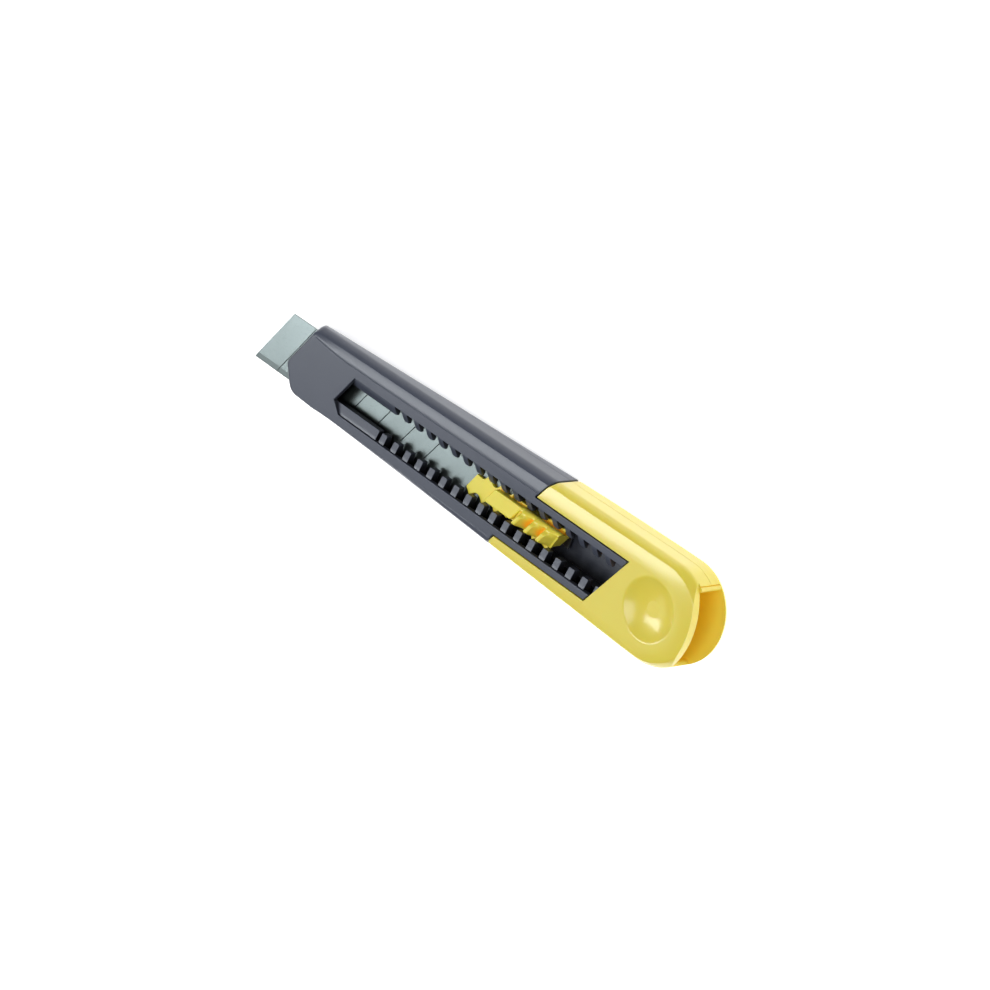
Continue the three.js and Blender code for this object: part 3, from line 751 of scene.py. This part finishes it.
def grip_height(u, y):
    """Top of the thumb grip: three fingers on slanted lines that grow out of a low strip."""
    rise = min(1.0, max(0.0, (y - FINGER_LOW) / (PLATEAU_LOW - FINGER_LOW)))
    valley = 1.5 + 1.6 * rise ** 0.8 + 0.7 * min(1.0, max(0.0, (y - PLATEAU_LOW) / 0.7))
    tip = max(0.0, FINGER_LOW + 1.6 - y) / 1.6
    merge = min(1.0, max(0.0, (y - 0.3) / 2.4))
    share = (1 - min(1.0, tip) ** 2) * (1 - 0.8 * merge * merge * (3 - 2 * merge))
    ridge = 0.0
    for i in range(RIDGES):
        offset = u - (FIRST_RIDGE + i * RIDGE_PITCH)
        if offset < CREST_FRONT:
            t = min(1.0, (CREST_FRONT - offset) / RIDGE_FRONT)
            height = math.sqrt(max(0.0, 1 - t * t))
        elif offset < CREST_REAR:
            height = 1.0 - 0.03 * (offset - CREST_FRONT) ** 2
        else:
            t = min(1.0, (offset - CREST_REAR) / RIDGE_REAR)
            height = 0.97 * (1 - t) ** 1.1
        ridge = max(ridge, height * share)
    outer = max(0.0, y - (GRIP_HIGH - GRIP_ROUNDING)) / GRIP_ROUNDING
    drop = 1 - math.sqrt(max(0.0, 1 - min(1.0, outer) ** 2))
    return valley + (CREST - valley) * ridge - GRIP_ROUNDING * drop


def make_grip():
    """Thumb grip: ridged top, foot between the racks, and a toothed rear plate."""
    rows, columns = 150, 44
    front, rear = SPLIT, FIRST_RIDGE + (RIDGES - 1) * RIDGE_PITCH + 2.9
    under = [(GRIP_HIGH, 2.6), (2.6, 2.4), (2.3, 2.2), (2.3, -1.3), (-2.3, -1.3), (-2.3, 1.2)]
    under += [(-2.6, 1.3), (FINGER_LOW, 1.42)]
    rings = []
    for i in range(rows + 1):
        u = front + (rear - front) * i / rows
        ring = []
        for j in range(columns + 1):
            y = FINGER_LOW + (GRIP_HIGH - FINGER_LOW) * j / columns
            ring.append((u + y * SLOPE, y, grip_height(u, y)))
        ring += [(u + y * SLOPE, y, z) for y, z in under]
        rings.append(ring)
    grip = loft_solid("thumb_slider", rings, GRIP_TURN)
    lower = toothed_side((117.0, -ROOT), -1, 117.8, 122.8)
    upper = toothed_side((119.0, ROOT), 1, 122.8, 127.8)
    plate = layered_prism("plate", lower + upper[::-1], rounded_top(PLATE_TOP, PLATE_LOW, 0.12, 3))
    combine(grip, plate, "UNION", GRIP_TURN)
    return grip


SPRING_FRONT, SPRING_REAR, SPRING_TOP = 107.6, 126.4, -2.75
SPRING_HALF = 2.6
SPRING_THICK = 0.4


def make_spring():
    """Bowed leaf spring under the thumb grip."""
    steps = 40
    rings = []
    for i in range(steps + 1):
        t = i / steps
        x = SPRING_FRONT + (SPRING_REAR - SPRING_FRONT) * t
        z = SPRING_TOP - 0.2 * t - 1.2 * math.sin(math.pi * t) ** 1.2
        low = z - SPRING_THICK
        upper = [(x, -SPRING_HALF, z), (x, SPRING_HALF, z)]
        rings.append(upper + [(x, SPRING_HALF, low), (x, -SPRING_HALF, low)])
    return loft_solid("leaf_spring", rings)


# ------------------------------------------------------------------ materials
class Nodes:
    """Small helper that adds and links shader nodes."""

    def __init__(self, name):
        self.material = bpy.data.materials.new(name)
        self.material.use_nodes = True
        self.tree = self.material.node_tree
        self.shader = self.tree.nodes["Principled BSDF"]

    def add(self, kind):
        return self.tree.nodes.new(kind)

    def link(self, source, target):
        self.tree.links.new(source, target)

    def noise(self, scale, detail, stretch=(1, 1, 1), rotation=(0, 0, 0), roughness=0.5):
        """Noise fixed to the piece. Scale is in lumps per metre."""
        coordinates = self.add("ShaderNodeTexCoord")
        mapping = self.add("ShaderNodeMapping")
        mapping.inputs["Scale"].default_value = stretch
        mapping.inputs["Rotation"].default_value = rotation
        self.link(coordinates.outputs["Object"], mapping.inputs["Vector"])
        noise = self.add("ShaderNodeTexNoise")
        noise.inputs["Scale"].default_value = scale
        noise.inputs["Detail"].default_value = detail
        noise.inputs["Roughness"].default_value = roughness
        self.link(mapping.outputs["Vector"], noise.inputs["Vector"])
        return noise.outputs["Fac"]

    def spread(self, value, low, high, out_low, out_high):
        """Maps low to high onto another range."""
        node = self.add("ShaderNodeMapRange")
        node.inputs["From Min"].default_value = low
        node.inputs["From Max"].default_value = high
        node.inputs["To Min"].default_value = out_low
        node.inputs["To Max"].default_value = out_high
        self.link(value, node.inputs["Value"])
        return node.outputs["Result"]

    def blend(self, factor, first, second):
        """Mix of two colours, each a plain colour or a socket."""
        node = self.add("ShaderNodeMix")
        node.data_type = "RGBA"
        slots = [s for s in node.inputs if s.type == "RGBA"]
        self.link(factor, node.inputs[0])
        for slot, value in zip(slots, (first, second)):
            if isinstance(value, tuple):
                slot.default_value = (*value, 1)
            else:
                self.link(value, slot)
        return [s for s in node.outputs if s.type == "RGBA"][0]

    def rounded_normal(self, radius):
        bevel = self.add("ShaderNodeBevel")
        bevel.samples = 4
        bevel.inputs["Radius"].default_value = radius
        return bevel.outputs["Normal"]

    def edges(self, radius):
        """Mask of outward and inward edges, from how far a rounded normal leans from the real one."""
        low, high = 0.02, 0.22
        rounded = self.rounded_normal(radius)
        geometry = self.add("ShaderNodeNewGeometry")
        dot = self.add("ShaderNodeVectorMath")
        dot.operation = "DOT_PRODUCT"
        self.link(rounded, dot.inputs[0])
        self.link(geometry.outputs["Normal"], dot.inputs[1])
        return self.spread(dot.outputs["Value"], 1 - low, 1 - high, 0, 1)

    def relief(self, height, distance, strength, radius=0.0):
        """Fine bump, on edges that look rounded when a radius is given."""
        bump = self.add("ShaderNodeBump")
        bump.inputs["Strength"].default_value = strength
        bump.inputs["Distance"].default_value = distance
        self.link(height, bump.inputs["Height"])
        if radius:
            self.link(self.rounded_normal(radius), bump.inputs["Normal"])
        self.link(bump.outputs["Normal"], self.shader.inputs["Normal"])


PALE_EDGE_WIDTH = 0.00016                       # width of the paler edges, in metres
PAINTED_GLOW_COLOUR = (1.0, 0.6, 0.03, 1)          # colour of a painted glow in the hollows, emitted in place of light that comes through thin yellow plastic


def plastic(name, colour, shade_colour, pale_edge_colour, roughness, grain, soften,
            painted_shade_colour, painted_shade_reach, painted_shade_range, coat=0.0, glow=0.0, painted_glow_strength=0.0):
    """Moulded plastic with uneven colour, paler edges, painted shade in its hollows and, when asked, a
    painted glow there.
    """
    n = Nodes(name)
    clouds = n.spread(n.noise(60, 4), 0.3, 0.7, 0, 1)
    tone = n.blend(clouds, colour, shade_colour)
    # painted shade: the colour turns towards the given shade colour where the piece shades itself
    hollow = n.add("ShaderNodeAmbientOcclusion")
    hollow.samples = 8
    hollow.only_local = True
    hollow.inputs["Distance"].default_value = painted_shade_reach
    depth = n.spread(hollow.outputs["AO"], painted_shade_range[0], painted_shade_range[1], 1, 0)
    tone = n.blend(depth, tone, painted_shade_colour)
    # painted glow: the hollows emit light, though no lamp is there
    if painted_glow_strength:
        n.shader.inputs["Emission Color"].default_value = PAINTED_GLOW_COLOUR
        n.link(n.spread(depth, 0, 1, 0, painted_glow_strength), n.shader.inputs["Emission Strength"])
    # edges get a paler colour, in patches
    rim = n.edges(PALE_EDGE_WIDTH)
    patchy = n.spread(n.noise(420, 3), 0.35, 0.75, 0, 0.55)
    mask = n.add("ShaderNodeMath")
    mask.operation = "MULTIPLY"
    n.link(rim, mask.inputs[0])
    n.link(patchy, mask.inputs[1])
    n.link(n.blend(mask.outputs[0], tone, pale_edge_colour), n.shader.inputs["Base Color"])
    polish = n.spread(n.noise(900, 3), 0.3, 0.7, roughness - 0.015, roughness + 0.02)
    n.link(polish, n.shader.inputs["Roughness"])
    n.relief(n.noise(5200, 2), grain, 0.2, soften)
    n.shader.inputs["Coat Weight"].default_value = coat
    n.shader.inputs["Coat Roughness"].default_value = 0.16
    if glow:
        n.shader.inputs["Subsurface Weight"].default_value = glow
        n.shader.inputs["Subsurface Radius"].default_value = (1.0, 0.55, 0.12)
        n.shader.inputs["Subsurface Scale"].default_value = 0.0009
    return n.material


def steel(name, colour, dark, roughness, turn):
    """Brushed steel with the brushing turned in the plane of the blade."""
    n = Nodes(name)
    brushed = n.noise(900, 4, (1.0, 22.0, 1.0), (0, 0, turn), 0.6)
    clouds = n.noise(90, 3)
    speck = n.spread(n.noise(2600, 2), 0.66, 0.74, 0, 0.5)
    tone = n.blend(n.spread(clouds, 0.3, 0.7, 0, 1), colour, dark)
    n.link(n.blend(speck, tone, (0.12, 0.12, 0.13)), n.shader.inputs["Base Color"])
    n.link(n.spread(brushed, 0.3, 0.7, roughness - 0.06, roughness + 0.08), n.shader.inputs["Roughness"])
    n.relief(brushed, 0.00002, 0.25)
    n.shader.inputs["Metallic"].default_value = 1.0
    return n.material


body_plastic = plastic(
    "satin_blue_grey",
    colour=(0.076, 0.086, 0.118),
    shade_colour=(0.071, 0.081, 0.111),
    pale_edge_colour=(0.26, 0.28, 0.35),
    roughness=0.29,
    grain=0.00001,
    soften=0.0001,
    # painted shade: near-black in the body's recesses, so gaps and channels look dark
    painted_shade_colour=(0.006, 0.006, 0.007),
    painted_shade_reach=0.012,
    painted_shade_range=(0.42, 0.7),
)
cover_plastic = plastic(
    "soft_gloss_yellow",
    colour=(0.95, 0.79, 0.10),
    shade_colour=(0.93, 0.76, 0.09),
    pale_edge_colour=(0.97, 0.92, 0.55),
    roughness=0.30,
    grain=0.000008,
    soften=0.00014,
    # painted shade: amber in the cover's hollows
    painted_shade_colour=(0.90, 0.68, 0.055),
    painted_shade_reach=0.012,
    painted_shade_range=(0.3, 0.8),
    coat=0.6,
    glow=0.2,
    # painted glow in the cover's hollows
    painted_glow_strength=0.13,
)
slider_plastic = plastic(
    "golden_yellow",
    colour=(0.98, 0.83, 0.09),
    shade_colour=(0.96, 0.80, 0.08),
    pale_edge_colour=(0.98, 0.90, 0.40),
    roughness=0.34,
    grain=0.000008,
    soften=0.00014,
    # painted shade: orange in the grip's valleys
    painted_shade_colour=(0.90, 0.38, 0.01),
    painted_shade_reach=0.003,
    painted_shade_range=(0.35, 0.8),
    coat=0.15,
    glow=0.2,
    # painted glow in the grip's hollows
    painted_glow_strength=0.1,
)
blade_steel = steel("ground_steel", (0.25, 0.29, 0.285), (0.225, 0.26, 0.255), 0.32, math.radians(30))
spring_steel = steel("spring_steel", (0.42, 0.43, 0.45), (0.36, 0.37, 0.39), 0.34, 0.0)


def finish_piece(thing, material, body, node):
    """Evens the shading, gives the piece its material, ties it to its body and hides the CAD part that it
    stands in for.
    """
    even = thing.modifiers.new("even_normals", "WEIGHTED_NORMAL")
    even.keep_sharp = True
    even.weight = 60
    thing.data.materials.clear()
    thing.data.materials.append(material)
    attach(thing, body)
    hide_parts(node)


finish_piece(make_body(), body_plastic, "housing", "body_shell")
finish_piece(make_cover(), cover_plastic, "cover", "rear_cover")
blade_nodes = [f"blade_segment_{i + 1}" for i in range(SCORED)] + ["blade_tail"]
for piece, node in zip(make_blade(), blade_nodes):
    finish_piece(piece, blade_steel, "slider", node)
finish_piece(make_carrier(), slider_plastic, "slider", "blade_carrier")
finish_piece(make_grip(), slider_plastic, "grip", "thumb_grip")
finish_piece(make_spring(), spring_steel, "slider", "lock_spring")


# ------------------------------------------------------------------ floor, light and camera
FLOOR_HALF = 3.0          # this and the other places here are in metres
LIGHT_DISTANCE = 0.9
COOL = (0.93, 0.97, 1.0)
CAMERA_PLACE = (TIP_X + 0.5425, MIDDLE_Y + 0.2713, 0.5410)
CAMERA_LOOK = (-0.59406, -0.36493, -0.71688)
CAMERA_UP = (-0.46556, 0.88273, -0.06355)
CAMERA_LENS = 103.49      # in millimetres


def make_floor():
    corners = [(*corner, 0) for corner in box_outline(-FLOOR_HALF, FLOOR_HALF, -FLOOR_HALF, FLOOR_HALF)]
    mesh = bpy.data.meshes.new("floor")
    mesh.from_pydata(corners, [], [(0, 1, 2, 3)])
    floor = bpy.data.objects.new("floor", mesh)
    bpy.context.scene.collection.objects.link(floor)
    floor.location.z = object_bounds()[0][2] - 0.0002
    n = Nodes("pale_floor")
    n.link(n.blend(n.noise(3, 2), (0.93, 0.93, 0.93), (0.95, 0.95, 0.95)), n.shader.inputs["Base Color"])
    n.shader.inputs["Roughness"].default_value = 0.9
    n.shader.inputs["Specular IOR Level"].default_value = 0.1
    n.shader.inputs["Emission Color"].default_value = (1, 1, 1, 1)
    n.shader.inputs["Emission Strength"].default_value = 0.8
    mesh.materials.append(n.material)


def soft_light(name, position, size, power, colour=(1, 1, 1)):
    """Rectangular lamp that faces the middle of the knife."""
    data = bpy.data.lights.new(name, "AREA")
    data.shape = "RECTANGLE"
    data.size, data.size_y = size
    data.energy = power
    data.color = colour
    lamp = bpy.data.objects.new(name, data)
    bpy.context.scene.collection.objects.link(lamp)
    lamp.location = position
    lamp.rotation_euler = (-Vector(position)).to_track_quat("-Z", "Y").to_euler()


def towards(*direction):
    return tuple(part * LIGHT_DISTANCE for part in direction)


def make_world():
    world = bpy.data.worlds.new("studio")
    world.use_nodes = True
    background = world.node_tree.nodes["Background"]
    background.inputs["Color"].default_value = (1.0, 1.0, 1.0, 1)
    background.inputs["Strength"].default_value = 0.15
    bpy.context.scene.world = world


def make_camera():
    data = bpy.data.cameras.new("camera")
    data.lens = CAMERA_LENS
    data.sensor_width = 36
    camera = bpy.data.objects.new("camera", data)
    bpy.context.scene.collection.objects.link(camera)
    look = Vector(CAMERA_LOOK).normalized()
    right = look.cross(Vector(CAMERA_UP)).normalized()
    up = right.cross(look)
    rows = [(right[i], up[i], -look[i], CAMERA_PLACE[i]) for i in range(3)]
    camera.matrix_world = Matrix((*rows, (0, 0, 0, 1)))
    bpy.context.scene.camera = camera


make_floor()
soft_light("shoulder_strip", towards(-0.594, -0.13, 0.794), (0.19, 0.6), 2.8, COOL)
soft_light("overhead", (0.35, 0.1, 1.1), (0.7, 0.7), 5.6)
soft_light("blade_panel", towards(-0.594, -0.50, 0.63), (0.36, 0.6), 0.48, COOL)
make_world()
make_camera()
bpy.context.scene.view_settings.view_transform = "Standard"
